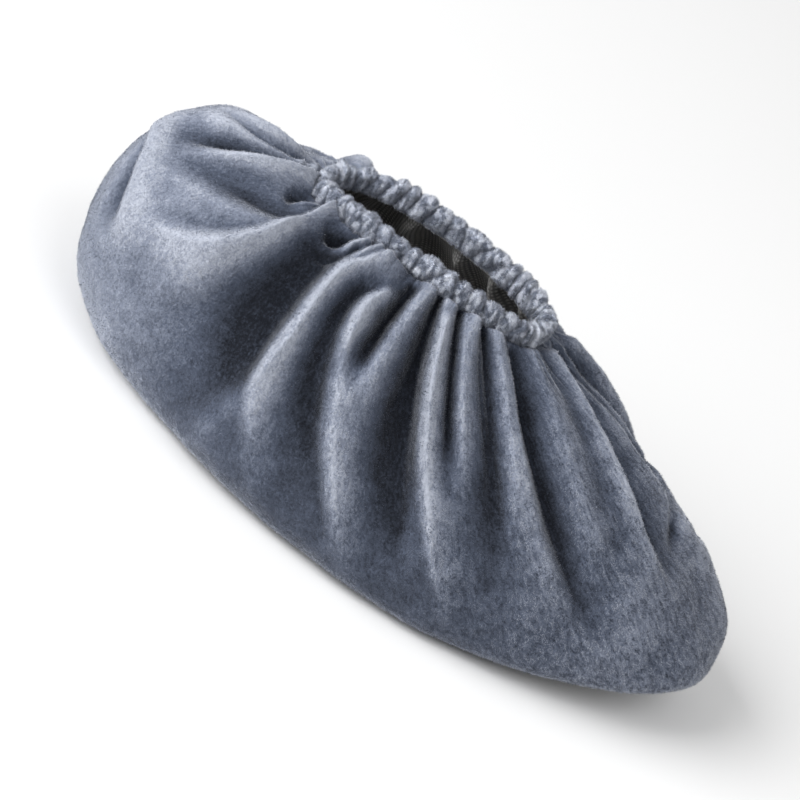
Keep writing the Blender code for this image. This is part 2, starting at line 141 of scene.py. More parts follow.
# Small tucks under the casing, then the notch over the toe and the full top of the toe.
# They are added to the folds and aren't held to the depth of the troughs.
TUCKS = (
    Fold(-0.0030, 210, 0.99, 214, 0.93, 225, 0.89, 0.004, 0.005, 0.0, 0.25),
    Fold(-0.0055, 245, 0.985, 242.5, 0.945, 237, 0.915, 0.0048, 0.0048, 0.0, 0.30),
    Fold(0.0042, 252, 0.97, 249.5, 0.925, 245.5, 0.875, 0.0036, 0.0036, 0.0, 0.50),
    Fold(-0.0025, 252, 0.925, 248, 0.865, 241, 0.865, 0.0032, 0.0032, 0.0, 0.20),
    Fold(0.0024, 257, 0.975, 254, 0.925, 250.5, 0.875, 0.0030, 0.0030, 0.0, 0.50),
    Fold(-0.0028, 259, 0.985, 256.3, 0.925, 253, 0.865, 0.0024, 0.0024, 0.0, 0.20),
    Fold(-0.0035, 22, 0.69, 8, 0.645, -5, 0.60, 0.0045, 0.006, 0.0, 0.30),
    Fold(0.0042, 16, 0.53, 11, 0.41, 4, 0.14, 0.026, 0.034, 0.0, 0.50),
)

# How a fold is drawn: the steps of its line, the share of it after which it fades out,
# and the share over which it comes in where it starts lower than FREE_END_RISE
FOLD_SEGMENTS = 12
FOLD_FADE_START = 0.6
FOLD_FADE_IN = 0.2
FREE_END_RISE = 0.92

# Powers of a fold's profile, for a common fold and for a full tube
FOLD_POWER = 1.5
FULL_POWER = 0.75
FULL_ROUNDING = 0.6

# Rises between which all folds come in over the sole and go out under the casing
FOLD_FOOT = (0.03, 0.16)
FOLD_HEAD = (0.975, 1.0)

# Gathers under the casing, in line with its lumps: how high, and the rises over which they come in
GATHER_HEIGHT = 0.0013
GATHER_RISES = (0.88, 0.97)

# Depth that no trough passes, low down and at the rim, and the rises between which it changes
TROUGH_DEPTH = 0.014
RIM_TROUGH_DEPTH = 0.0045
TROUGH_RISES = (0.72, 0.95)

# Small bumps of the cloth: their size and how high they stand
CRUSH_BUMPS = ((0.016, 0.0008), (0.007, 0.0004), (0.0035, 0.00016))

# Puckers of the casing: their number, how uneven their pitch is, how much closer they are at the toe
# and heel ends of the collar, and how far a crease slants, as a share of its pitch
PUCKERS = 44
PUCKER_PITCHES = (0.5, 1.5)
PUCKER_CROWDING = 0.45
PUCKER_SLANT = 0.35

# Lumps between the puckers: their sizes, the power of their round profile, how high they stand
# and the mean that they swing round
LUMP_SIZES = (0.6, 1.3)
LUMP_POWER = 0.6
LUMP_HEIGHT = 0.0022
MEAN_LUMP = 0.7

# Knobs of the casing: their size and how high they stand
CASING_KNOBS = ((0.0045, 0.0007), (0.0022, 0.0003), (0.0012, 0.00020))

# How far the casing reaches down inside the rim
CASING_LAP = 0.0014

# Layers of the wall, as depths under the outer face, and the share of a ridge that the lining follows
VELVET_DEPTH = 0.0012
LINING_DEPTHS = (0.0013, 0.0020)
LINING_TAUTNESS = 0.3

# Steps for slopes and lengths, in degrees of turn and in rise
TURN_STEP = 0.5
RISE_STEP = 0.01
FINE_STEPS = 1440
TINY = 1e-9

# Mesh resolution
WALL_COLUMNS = 700
WALL_ROWS = 100
WALL_CROWDING = 1.35
EVEN_RISE = 0.8
INNER_ROW_STRIDE = 3
LINING_COLUMNS = 360
LINING_ROWS = 72
CASING_COLUMNS = 1080
CASING_SIDES = 40

# Seeds of all that is random, and the points of the noise's lattice each way
SEED = 11
KNOB_SEED = SEED + 7
SWIRL_SEED = SEED + 20
STREAK_SEED = SEED + 30
NOISE_LATTICE = 32

# Pile of the velvet. count is of fibres to a piece, and stray is how far they lean out of line.
# ruffle is how uneven their light is, and grain how strong their streaks of tone are.
# streak_limit is how far a streak's tone goes, and speckle how much single fibres differ.
Pile = namedtuple("Pile", "count length stray ruffle grain streak_size streak_limit speckle")
UPPER_PILE = Pile(190000, 0.0009, 0.5, 0.09, 1.4, 0.0012, 0.6, 0.15)
CASING_PILE = Pile(190000, 0.0013, 1.0, 0.80, 4.5, 0.0009, 1.1, 0.35)

# Width of a fibre at its root, and the shares of the pile's length that fibres have
FIBRE_WIDTH = 0.00020
FIBRE_LENGTHS = (0.6, 1.1)

# Shares of a fibre's lean that stand up from the cloth, lie down the wall and follow the swirls,
# the share of its facing that follows the swirls, and their size
STAND_SHARE = 0.8
LIE_SHARE = 0.4
SWIRL_LEAN_SHARE = 0.3
SWIRL_FACING_SHARE = 0.12
SWIRL_SIZE = 0.0022

# Streaks of the pile: their strength, how far they are drawn out up the wall, and the grain
# at a middle painted shade with what a full painted highlight adds to it
STREAK_STRENGTH = 2.2
STREAK_SHARE = 0.50
MIDDLE_GRAIN = 0.6
HEIGHT_GRAIN = 0.4

# How much paler the pile is painted along the cover, as painted light at the heel and the toe's end and
# painted shade between them, and how strong its grain is
Nap = namedtuple("Nap", "x lift grain")
NAPS = (
    Nap(-0.125, 0.50, 0.45),
    Nap(-0.085, 0.12, 0.50),
    Nap(-0.055, -0.32, 0.70),
    Nap(-0.030, -0.30, 0.80),
    Nap(0.040, -0.30, 1.80),
    Nap(0.120, 0.15, 3.00),
)

# Painted highlight on crests and painted shade in hollows, from fine to broad: the rows and columns
# averaged to each side, the height over that average that makes a tint of 1, and its weight
Tint = namedtuple("Tint", "rows columns height weight")
PAINTED_SHADES = (
    Tint(2, 3, 0.0007, 0.2),
    Tint(10, 14, 0.0040, 0.5),
    Tint(24, 36, 0.0060, 0.6),
)
# Swell of the casing that makes a full painted highlight on a lump and a full painted shade in a crease
CASING_PAINTED_SHADE_HEIGHT = 0.0016

# Size of the cloth round the wall and up it, for the wales
CLOTH_GIRTH = 0.62
CLOTH_HEIGHT = 0.135

# Velvets: colours from dark to pale tones, the share of the folds' painted highlight and shade in the tone,
# and that of the grain
Velvet = namedtuple("Velvet", "stops relief_share grain")
UPPER_STOPS = (
    (0.0, (0.010, 0.012, 0.018)),
    (0.45, (0.075, 0.090, 0.128)),
    (0.75, (0.200, 0.224, 0.285)),
    (1.0, (0.380, 0.405, 0.470)),
)
CASING_STOPS = (
    (0.0, (0.130, 0.149, 0.197)),
    (0.45, (0.374, 0.417, 0.523)),
    (0.75, (0.589, 0.632, 0.736)),
    (1.0, (0.770, 0.804, 0.889)),
)
UPPER_VELVET = Velvet(UPPER_STOPS, 0.45, 0.55)
CASING_VELVET = Velvet(CASING_STOPS, 0.25, 0.45)

# Noise in the velvet's tone: sizes and shares, those of the wales against the grain
MIDDLE_TONE = 0.5
BLOTCH_SIZE = 0.026
BLOTCH_SHARE = 0.18
CRUSH_SIZE = 0.005
CRUSH_SHARE = 0.14
PILE_SIZE = 0.0010
PILE_ROUGHNESS = 0.7
WALE_SIZE = 0.0011
WALE_STRETCH = (1.0, 0.35, 1.0)
WALE_SHARE = 0.6
WALE_BUMP_SHARE = 0.5
TUFT_SHARE = 0.27

# Shine: the specular level of all materials, the velvet's roughness, the sheen of its cloth
# and of its fibres, each with the sheen's roughness, and the tint of the sheen
SPECULAR_LEVEL = 0.2
VELVET_ROUGHNESS = 0.95
CLOTH_SHEEN = (1.0, 0.35)
FIBRE_SHEEN = (0.7, 0.40)
SHEEN_TINT = (0.85, 0.89, 1.0)

# Woven backing: its colour, painted far paler than the dark grey cloth as painted light for the dim inside,
# how dark and pale it gets, its wear and the pitch of its threads.
# WAVES_TO_SCALE is the number of waves that a wave texture makes at a scale of 1.
WOVEN_PAINTED_PALE_GREY = (0.60, 0.59, 0.58)
WOVEN_DARK = 0.35
WOVEN_PALE = 1.5
WOVEN_ROUGHNESS = 0.9
WOVEN_SHEEN = 0.1
WOVEN_WEAR_SIZE = 0.012
WOVEN_WEAR_SHARE = 0.3
THREAD_PITCH = 0.0019
WAVES_TO_SCALE = 3.14

# Grip coating of the sole
RUBBER_STOPS = ((0.2, (0.006, 0.006, 0.007)), (0.8, (0.022, 0.022, 0.025)))
RUBBER_ROUGHNESS = 0.6
RUBBER_GRAIN_SIZE = 0.0009
RUBBER_WEAR_SIZE = 0.02
RUBBER_WEAR_SHARE = 0.6

# Bumps of the materials: strength and height
VELVET_BUMP = (0.7, 0.0006)
WOVEN_BUMP = (0.7, 0.0004)
RUBBER_BUMP = (0.4, 0.0003)

# Camera of the photograph: degrees round the cover, above the floor and rolled clockwise
CAMERA_AZIMUTH = 3.0
CAMERA_ELEVATION = 31.0
CAMERA_ROLL = 35.0
CAMERA_DISTANCE = 1.1
CAMERA_LOOK = (0.0032, 0.0, 0.05)
CAMERA_AIM_LEFT = 0.01325
CAMERA_LENS = 127.4

# Square soft lights, with directions along the camera's right, up and back
Light = namedtuple("Light", "name direction size power")
LIGHTS = (
    Light("key", (-0.55, 0.70, 0.65), 2.4, 125.0),
    Light("left", (-1.0, 0.35, -0.30), 1.6, 90.0),
    Light("fill", (0.6, 0.15, 0.80), 2.0, 28.0),
)
LIGHT_DISTANCE = 3.0
LIGHT_UP = (0.0, 0.3, 1.0)
WORLD_STRENGTH = 0.40

# Floor, dropped a little so that the sole doesn't share its plane
FLOOR_REACH = 4.0
FLOOR_DROP = 0.0002
FLOOR_ROUGHNESS = 0.9
FLOOR_COLOUR = (0.90, 0.90, 0.90, 1.0)


def ease(value, start, end):
    """0 before start, 1 after end and a smooth step between them."""
    share = np.clip((value - start) / (end - start), 0.0, 1.0)
    return share * share * (3.0 - 2.0 * share)


def squared(value, power):
    """A sine or cosine raised to a power under 1, which squares an oval off, with its sign kept."""
    return np.sign(value) * np.abs(value) ** power


def unit(vectors):
    """The vectors drawn out or in to a length of 1."""
    return vectors / np.linalg.norm(vectors, axis=-1, keepdims=True)


def section_value(turn, column):
    """A column of the section table at any turn, on a smooth curve through its rows."""
    rows = np.array([getattr(section, column) for section in SECTIONS])
    last = len(rows) - 1
    folded = np.abs((turn + 180.0) % 360.0 - 180.0) / SECTIONS[1].turn
    row = np.clip(np.floor(folded).astype(int), 0, last - 1)
    share = folded - row
    before = rows[np.abs(row - 1)]
    here = rows[row]
    there = rows[row + 1]
    after = rows[last - np.abs(last - row - 2)]
    slope = there - before
    bend = 2.0 * before - 5.0 * here + 4.0 * there - after
    twist = 3.0 * here - before - 3.0 * there + after
    return here + 0.5 * share * (slope + share * (bend + share * twist))


def floor_height(x):
    """Height of the underside of the sole over the floor: flat, and sprung up at toe and heel."""
    toe_end = SOLE_MIDDLE_X + SOLE_LENGTH / 2
    heel_end = SOLE_MIDDLE_X - SOLE_LENGTH / 2
    toe = np.clip((x - TOE_BEND_X) / (toe_end - TOE_BEND_X), 0.0, 1.0)
    heel = np.clip((x - HEEL_BEND_X) / (heel_end - HEEL_BEND_X), 0.0, 1.0)
    return TOE_SPRING * toe**2 + HEEL_SPRING * heel**2


def sole_edge(turn, height):
    """Outline of the sole, at a height over its underside."""
    angle = np.radians(turn)
    x = SOLE_MIDDLE_X + SOLE_LENGTH / 2 * squared(np.cos(angle), SOLE_SQUARENESS)
    y = section_value(turn, "sole_half_width") * squared(np.sin(angle), SOLE_SQUARENESS)
    return np.stack([x, y, floor_height(x) + height], axis=-1)


def collar_rim(turn):
    """Outer edge of the upper at the collar."""
    angle = np.radians(turn)
    x = COLLAR_MIDDLE_X + COLLAR_LENGTH / 2 * squared(np.cos(angle), COLLAR_SQUARENESS)
    y = COLLAR_WIDTH / 2 * squared(np.sin(angle), COLLAR_SQUARENESS)
    end_z = (RIM_FRONT_Z + RIM_BACK_Z) / 2 + (RIM_FRONT_Z - RIM_BACK_Z) / 2 * np.cos(angle)
    z = end_z + (RIM_SIDE_Z - end_z) * np.sin(angle) ** 2
    return np.stack([x, y, z], axis=-1)


def smooth_wall(turn, rise):
    """Outer face of the upper without its folds: an upright Bezier curve at each turn."""
    turn, rise = np.broadcast_arrays(np.asarray(turn, float), np.asarray(rise, float))
    angle = np.radians(turn)
    outward = np.stack([np.cos(angle), np.sin(angle), np.zeros_like(angle)], axis=-1)
    low = sole_edge(turn, SEAM_LIFT)
    high = collar_rim(turn)
    low_aim = low + outward * section_value(turn, "reach")[..., None]
    low_aim[..., 2] += section_value(turn, "lift")
    high_aim = high + outward * section_value(turn, "swell")[..., None]
    high_aim[..., 2] = section_value(turn, "shoulder")
    up = rise[..., None]
    down = 1.0 - up
    return down**3 * low + 3 * down**2 * up * low_aim + 3 * down * up**2 * high_aim + up**3 * high


def wall_normal(turn, rise):
    """Outward normal of the smooth wall."""
    along = smooth_wall(turn + TURN_STEP, rise) - smooth_wall(turn - TURN_STEP, rise)
    above = np.minimum(rise + RISE_STEP, 1.0)
    below = np.maximum(rise - RISE_STEP, 0.0)
    return unit(np.cross(along, smooth_wall(turn, above) - smooth_wall(turn, below)))


def fold_line(fold):
    """Points of a fold's line on the smooth wall, through its three places."""
    share = np.linspace(0.0, 1.0, FOLD_SEGMENTS + 1)
    first = (1.0 - share) * (1.0 - 2.0 * share)
    middle = 4.0 * share * (1.0 - share)
    third = share * (2.0 * share - 1.0)
    turn = fold.turn1 * first + fold.turn2 * middle + fold.turn3 * third
    rise = fold.rise1 * first + fold.rise2 * middle + fold.rise3 * third
    return smooth_wall(turn, rise)


def distance_to_line(points, normals, line):
    """Distance of each point from a line, the share of the line passed there, and the side.

    The side is 1 on the left and -1 on the right, and turns from one to the other round the line's ends.
    """
    nearest = np.full(len(points), np.inf)
    passed = np.zeros(len(points))
    side = np.zeros(len(points))
    for index, (start, end) in enumerate(zip(line[:-1], line[1:])):
        run = end - start
        away = points - start
        share = np.clip(away @ run / (run @ run), 0.0, 1.0)
        distance = np.linalg.norm(away - share[:, None] * run, axis=-1)
        closer = distance < nearest
        nearest = np.where(closer, distance, nearest)
        passed = np.where(closer, (index + share) / (len(line) - 1), passed)
        turned = np.einsum("ij,ij->i", np.cross(run, away), normals)
        side = np.where(closer, turned / (np.linalg.norm(run) * distance + TINY), side)
    return nearest, passed, np.clip(side, -1.0, 1.0)


def add_fold(relief, fold, points, normals):
    """Lifts or sinks the relief along one fold."""
    line = fold_line(fold)
    reach = max(fold.width1, fold.width3) * (1.0 + abs(fold.lean))
    near = np.all((points > line.min(0) - reach) & (points < line.max(0) + reach), axis=-1)
    distance, passed, side = distance_to_line(points[near], normals[near], line)
    width = (fold.width1 + (fold.width3 - fold.width1) * passed) * (1.0 + fold.lean * side)
    offset = np.hypot(distance / width, fold.rounding)
    power = FULL_POWER if fold.rounding >= FULL_ROUNDING else FOLD_POWER
    profile = (np.clip(1.0 - offset, 0.0, 1.0) / (1.0 - fold.rounding)) ** power
    fade = 1.0 - ease(passed, FOLD_FADE_START, 1.0)
    if fold.rise1 < FREE_END_RISE:
        fade = fade * ease(passed, -FOLD_FADE_IN, FOLD_FADE_IN)
    relief[near] += fold.height * profile * fade


def value_noise(points, size, seed):
    """Smooth noise from -1 to 1 with bumps of that size, the same on each run."""
    lattice = np.random.default_rng(seed).uniform(-1.0, 1.0, (NOISE_LATTICE,) * 3)
    scaled = points / size
    corner = np.floor(scaled).astype(int)
    share = scaled - corner
    share = share * share * (3.0 - 2.0 * share)
    total = np.zeros(points.shape[:-1])
    for x in (0, 1):
        for y in (0, 1):
            for z in (0, 1):
                step = np.array([x, y, z])
                weight = np.prod(np.where(step, share, 1.0 - share), axis=-1)
                place = (corner + step) % NOISE_LATTICE
                total += weight * lattice[place[..., 0], place[..., 1], place[..., 2]]
    return total


def casing_lumps(share, upward):
    """Swelling of the casing from 0 in its slanted creases to 1 or so on the uneven lumps between them."""
    random = np.random.default_rng(SEED)
    places = (np.arange(PUCKERS) + 0.5) / PUCKERS
    crowding = 1.0 - PUCKER_CROWDING * np.cos(4.0 * np.pi * places)
    pitch = random.uniform(*PUCKER_PITCHES, PUCKERS) * crowding
    creases = (np.cumsum(pitch) - 0.5 * pitch) / pitch.sum()
    slants = random.uniform(-PUCKER_SLANT, PUCKER_SLANT, PUCKERS) * pitch / pitch.sum()
    sizes = random.uniform(*LUMP_SIZES, PUCKERS)
    lumps = np.zeros((len(upward), len(share)))
    for row, height in enumerate(upward):
        moved = creases + slants * height
        ends = np.concatenate([[moved[-1] - 1.0], moved, [moved[0] + 1.0]])
        after = np.searchsorted(ends, share)
        passed = (share - ends[after - 1]) / (ends[after] - ends[after - 1])
        lumps[row] = np.sin(np.pi * passed) ** LUMP_POWER * sizes[after % PUCKERS]
    return lumps


def even_turns(count, curve):
    """Turns that divide a closed curve round the cover into equal lengths."""
    fine = np.linspace(0.0, 360.0, FINE_STEPS + 1)
    steps = np.linalg.norm(np.diff(curve(fine), axis=0), axis=-1)
    lengths = np.concatenate([[0.0], np.cumsum(steps)])
    return np.interp(np.linspace(0.0, lengths[-1], count, endpoint=False), lengths, fine)


def wall_turns(columns):
    """Turns of the wall's columns, evenly spaced round it at one rise."""
    return even_turns(columns, lambda turn: smooth_wall(turn, EVEN_RISE))


def wall_rises(rows):
    """Rises of the wall's rows, closer together towards the collar."""
    return 1.0 - (1.0 - np.linspace(0.0, 1.0, rows)) ** WALL_CROWDING


def casing_shares():
    """Shares of the way round the collar at the casing's columns."""
    return (np.arange(CASING_COLUMNS) + 0.5) / CASING_COLUMNS


def rim_gathers(turns):
    """Rise and fall of the cloth under the casing, at each turn."""
    share = np.interp(turns, even_turns(CASING_COLUMNS, collar_rim), casing_shares())
    return casing_lumps(share, [-1.0])[0] - MEAN_LUMP


def folded_wall(turns, rises):
    """Grids of the smooth wall's points and normals, and of the folds' relief there."""
    turn, rise = np.meshgrid(turns, rises)
    points = smooth_wall(turn, rise)
    normals = wall_normal(turn, rise)
    flat_points = points.reshape(-1, 3)
    flat_normals = normals.reshape(-1, 3)
    relief = np.zeros(len(flat_points))
    tucks = np.zeros(len(flat_points))
    for fold in RIGHT_FOLDS + LEFT_FOLDS:
        add_fold(relief, fold, flat_points, flat_normals)
    for fold in TUCKS:
        add_fold(tucks, fold, flat_points, flat_normals)
    for index, (size, height) in enumerate(CRUSH_BUMPS):
        relief += height * value_noise(flat_points, size, SEED + index)
    relief = relief.reshape(turn.shape)
    relief += GATHER_HEIGHT * rim_gathers(turns) * ease(rise, *GATHER_RISES)
    depth = TROUGH_DEPTH + (RIM_TROUGH_DEPTH - TROUGH_DEPTH) * ease(rise, *TROUGH_RISES)
    trough = depth * np.tanh(relief / depth)
    relief = np.where(relief < 0.0, trough, relief) + tucks.reshape(turn.shape)
    relief *= ease(rise, *FOLD_FOOT) * (1.0 - ease(rise, *FOLD_HEAD))
    return points, normals, relief


def lofted_mesh(name, rings, heights):
    """A mesh of quads between closed rings, the last joined to the first.

    Its cloth map runs in metres round the girth and, by the rings' heights, up the wall.
    """
    rows, columns = rings.shape[:2]
    row, column = np.meshgrid(np.arange(rows), np.arange(columns), indexing="ij")
    below = row * columns
    above = (row + 1) % rows * columns
    beside = (column + 1) % columns
    quads = np.stack([below + column, below + beside, above + beside, above + column], axis=-1)
    mesh = bpy.data.meshes.new(name)
    mesh.from_pydata(rings.reshape(-1, 3), [], quads.reshape(-1, 4))
    mesh.shade_smooth()
    along = np.stack([column, column + 1, column + 1, column], axis=-1) * CLOTH_GIRTH / columns
    low = heights[row]
    high = heights[(row + 1) % rows]
    up = np.stack([low, low, high, high], axis=-1)
    cloth = mesh.uv_layers.new(name="cloth")
    cloth.data.foreach_set("uv", np.stack([along, up], axis=-1).astype(np.float32).ravel())
    return mesh


def set_float(mesh, name, values):
    """A number for each point of the mesh, which its material reads by name."""
    attribute = mesh.attributes.new(name, "FLOAT", "POINT")
    attribute.data.foreach_set("value", np.asarray(values, np.float32).ravel())


def add_node(tree, kind, values=None, **settings):
    """A shader node with its settings, and its inputs set to values or linked to (node, output) pairs."""
    made = tree.nodes.new(kind)
    for key, value in settings.items():
        setattr(made, key, value)
    for key, value in (values or {}).items():
        if isinstance(value, tuple) and isinstance(value[0], bpy.types.Node):
            tree.links.new(value[0].outputs[value[1]], made.inputs[key])
        else:
            made.inputs[key].default_value = value
    return made


def add_math(tree, operation, *values):
    """A number worked out from others, as a (node, output) pair."""
    return add_node(tree, "ShaderNodeMath", dict(enumerate(values)), operation=operation), 0


def add_noise(tree, coordinates, size, detail=2.0, roughness=0.5):
    """Noise from 0 to 1 with that size in metres, as a (node, output) pair."""
    values = {"Vector": coordinates, "Scale": 1.0 / size, "Detail": detail, "Roughness": roughness}
    return add_node(tree, "ShaderNodeTexNoise", values), "Fac"


def add_mix(tree, first, second, share):
    """Two tones mixed, with that share of the second."""
    rest = add_math(tree, "MULTIPLY", first, 1.0 - share)
    return add_math(tree, "ADD", rest, add_math(tree, "MULTIPLY", second, share))


def add_painted_shade_tone(tree, relief_share):
    """Painted highlight on crests and painted shade in hollows, read from the relief attribute as a tone
    round the middle tone.
    """
    relief = add_node(tree, "ShaderNodeAttribute", attribute_name="relief"), "Fac"
    return add_math(tree, "MULTIPLY_ADD", relief, relief_share, MIDDLE_TONE)


def set_colour(tree, shader, tone, stops):
    """Colours the shader by a tone, on a ramp through the stops."""
    made = add_node(tree, "ShaderNodeValToRGB", {"Fac": tone})
    ramp = made.color_ramp
    while len(ramp.elements) < len(stops):
        ramp.elements.new(1.0)
    for element, (place, colour) in zip(ramp.elements, stops):
        element.position = place
        element.color = (*colour, 1.0)
    tree.links.new(made.outputs["Color"], shader.inputs["Base Color"])


def set_bump(tree, shader, height, bump):
    """Roughens the shader by a height, with a bump's strength and height in metres."""
    strength, distance = bump
    made = add_node(tree, "ShaderNodeBump", {"Height": height, "Strength": strength, "Distance": distance})
    tree.links.new(made.outputs["Normal"], shader.inputs["Normal"])


def new_material(name, roughness, sheen=0.0, sheen_roughness=0.4, sheen_tint=(1.0, 1.0, 1.0)):
    """A Principled material with its node tree and shader."""
    material = bpy.data.materials.new(name)
    material.use_nodes = True
    shader = material.node_tree.nodes["Principled BSDF"]
    shader.inputs["Roughness"].default_value = roughness
    shader.inputs["Specular IOR Level"].default_value = SPECULAR_LEVEL
    shader.inputs["Sheen Weight"].default_value = sheen
    shader.inputs["Sheen Roughness"].default_value = sheen_roughness
    shader.inputs["Sheen Tint"].default_value = (*sheen_tint, 1.0)
    return material, material.node_tree, shader


def velvet_material(name, velvet):
    """Velvet: painted highlight on ridges and painted shade in troughs, the nap blotched, streaked and
    granular.
    """
    material, tree, shader = new_material(name, VELVET_ROUGHNESS, *CLOTH_SHEEN, SHEEN_TINT)
    place = add_node(tree, "ShaderNodeTexCoord"), "Object"
    cloth = add_node(tree, "ShaderNodeUVMap", uv_map="cloth"), "UV"
    stretch = {0: cloth, 1: WALE_STRETCH}
    stretched = add_node(tree, "ShaderNodeVectorMath", stretch, operation="MULTIPLY"), 0
    blotch = add_noise(tree, place, BLOTCH_SIZE, detail=3.0)
    crush = add_noise(tree, place, CRUSH_SIZE, detail=3.0)
    pile = add_noise(tree, place, PILE_SIZE, roughness=PILE_ROUGHNESS)
    wales = add_noise(tree, stretched, WALE_SIZE, detail=1.0)
    shares = (
        (blotch, BLOTCH_SHARE),
        (crush, CRUSH_SHARE),
        (pile, velvet.grain),
        (wales, WALE_SHARE * velvet.grain),
    )
    # Painted highlight and shade of the folds, with the cloth's own noise added to it
    tone = add_painted_shade_tone(tree, velvet.relief_share)
    for noise, share in shares:
        centred = add_math(tree, "SUBTRACT", noise, 0.5)
        tone = add_math(tree, "ADD", tone, add_math(tree, "MULTIPLY", centred, share))
    set_colour(tree, shader, tone, velvet.stops)
    height = add_math(tree, "ADD", add_math(tree, "MULTIPLY", wales, WALE_BUMP_SHARE), pile)
    set_bump(tree, shader, height, VELVET_BUMP)
    return material


def pile_material(name, velvet):
    """Single fibres of the pile, with the painted highlight and shade of the cloth under them, each a
    little paler or darker than that cloth.
    """
    material, tree, shader = new_material(name, VELVET_ROUGHNESS, *FIBRE_SHEEN, SHEEN_TINT)
    tuft = add_node(tree, "ShaderNodeAttribute", attribute_name="tuft"), "Fac"
    tone = add_painted_shade_tone(tree, velvet.relief_share)
    tone = add_math(tree, "ADD", tone, add_math(tree, "MULTIPLY", tuft, TUFT_SHARE))
    set_colour(tree, shader, tone, velvet.stops)
    return material


def woven_material(name, cloth_map):
    """Coarse plain weave of two crossed sets of threads, on the cloth map or straight on a flat ply."""
    material, tree, shader = new_material(name, WOVEN_ROUGHNESS, WOVEN_SHEEN)
    place = add_node(tree, "ShaderNodeTexCoord"), "Object"
    weave = (add_node(tree, "ShaderNodeUVMap", uv_map="cloth"), "UV") if cloth_map else place
    values = {"Vector": weave, "Scale": 1.0 / THREAD_PITCH / WAVES_TO_SCALE}
    across = add_node(tree, "ShaderNodeTexWave", values, bands_direction="X")
    along = add_node(tree, "ShaderNodeTexWave", values, bands_direction="Y")
    threads = add_math(tree, "MULTIPLY", (across, "Fac"), (along, "Fac"))
    wear = add_noise(tree, place, WOVEN_WEAR_SIZE, detail=3.0)
    # Thread colours round the grey that is painted pale as light for the dim inside
    dark = tuple(WOVEN_DARK * channel for channel in WOVEN_PAINTED_PALE_GREY)
    pale = tuple(WOVEN_PALE * channel for channel in WOVEN_PAINTED_PALE_GREY)
    stops = ((0.0, dark), (0.5, WOVEN_PAINTED_PALE_GREY), (1.0, pale))
    set_colour(tree, shader, add_mix(tree, threads, wear, WOVEN_WEAR_SHARE), stops)
    set_bump(tree, shader, threads, WOVEN_BUMP)
    return material


def rubber_material(name):
    """Matte black grip coating with a faint grain."""
    material, tree, shader = new_material(name, RUBBER_ROUGHNESS)
    place = add_node(tree, "ShaderNodeTexCoord"), "Object"
    grain = add_noise(tree, place, RUBBER_GRAIN_SIZE)
    wear = add_noise(tree, place, RUBBER_WEAR_SIZE, detail=3.0)
    set_colour(tree, shader, add_mix(tree, grain, wear, RUBBER_WEAR_SHARE), RUBBER_STOPS)
    set_bump(tree, shader, grain, RUBBER_BUMP)
    return material


def add_piece(name, mesh, material, slot, *nodes):
    """A piece of the cover, riding on its one body and standing for the named nodes."""
    piece = bpy.data.objects.new(name, mesh)
    mesh.materials.append(material)
    bpy.context.scene.collection.objects.link(piece)
    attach(piece, "root")
    if nodes:
        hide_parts(*nodes)
    return piece


def smoothed(grid, rows, columns):
    """Box average over a grid that is closed along its columns."""
    total = np.zeros_like(grid)
    for step in range(-columns, columns + 1):
        total += np.roll(grid, step, axis=1)
    grid = total / (2 * columns + 1)
    padded = np.pad(grid, ((rows, rows), (0, 0)), mode="edge")
    total = np.zeros_like(grid)
    for step in range(2 * rows + 1):
        total += padded[step : step + len(grid)]
    return total / (2 * rows + 1)


def spread_places(grid, count, random):
    """Random places on a grid of points, even over its area: row, column and the shares past each."""
    sides = np.cross(np.diff(grid, axis=1)[:-1], np.diff(grid, axis=0)[:, :-1])
    area = np.linalg.norm(sides, axis=-1)
    passed = np.cumsum(area.ravel())
    picked = np.searchsorted(passed, random.uniform(0.0, passed[-1], count))
    row, column = np.unravel_index(picked, area.shape)
    return row, column, random.uniform(size=count), random.uniform(size=count)


def value_at(grid, places):
    """Values of a grid at those places."""
    row, column, along, up = places
    beside = column + 1
    if grid.ndim == 3:
        along, up = along[:, None], up[:, None]
    low = grid[row, column] * (1.0 - along) + grid[row, beside] * along
    high = grid[row + 1, column] * (1.0 - along) + grid[row + 1, beside] * along
    return low * (1.0 - up) + high * up


def nap_value(x, column):
    """A column of the nap table at any place along the cover."""
    return np.interp(x, [nap.x for nap in NAPS], [getattr(nap, column) for nap in NAPS])


def cloth_grid(girths, heights):
    """Places on the flat cloth, drawn together up the wall so that noise there comes out in streaks."""
    girth, height = np.meshgrid(girths, np.asarray(heights) * STREAK_SHARE)
    return np.stack([girth, height, np.zeros_like(girth)], axis=-1)


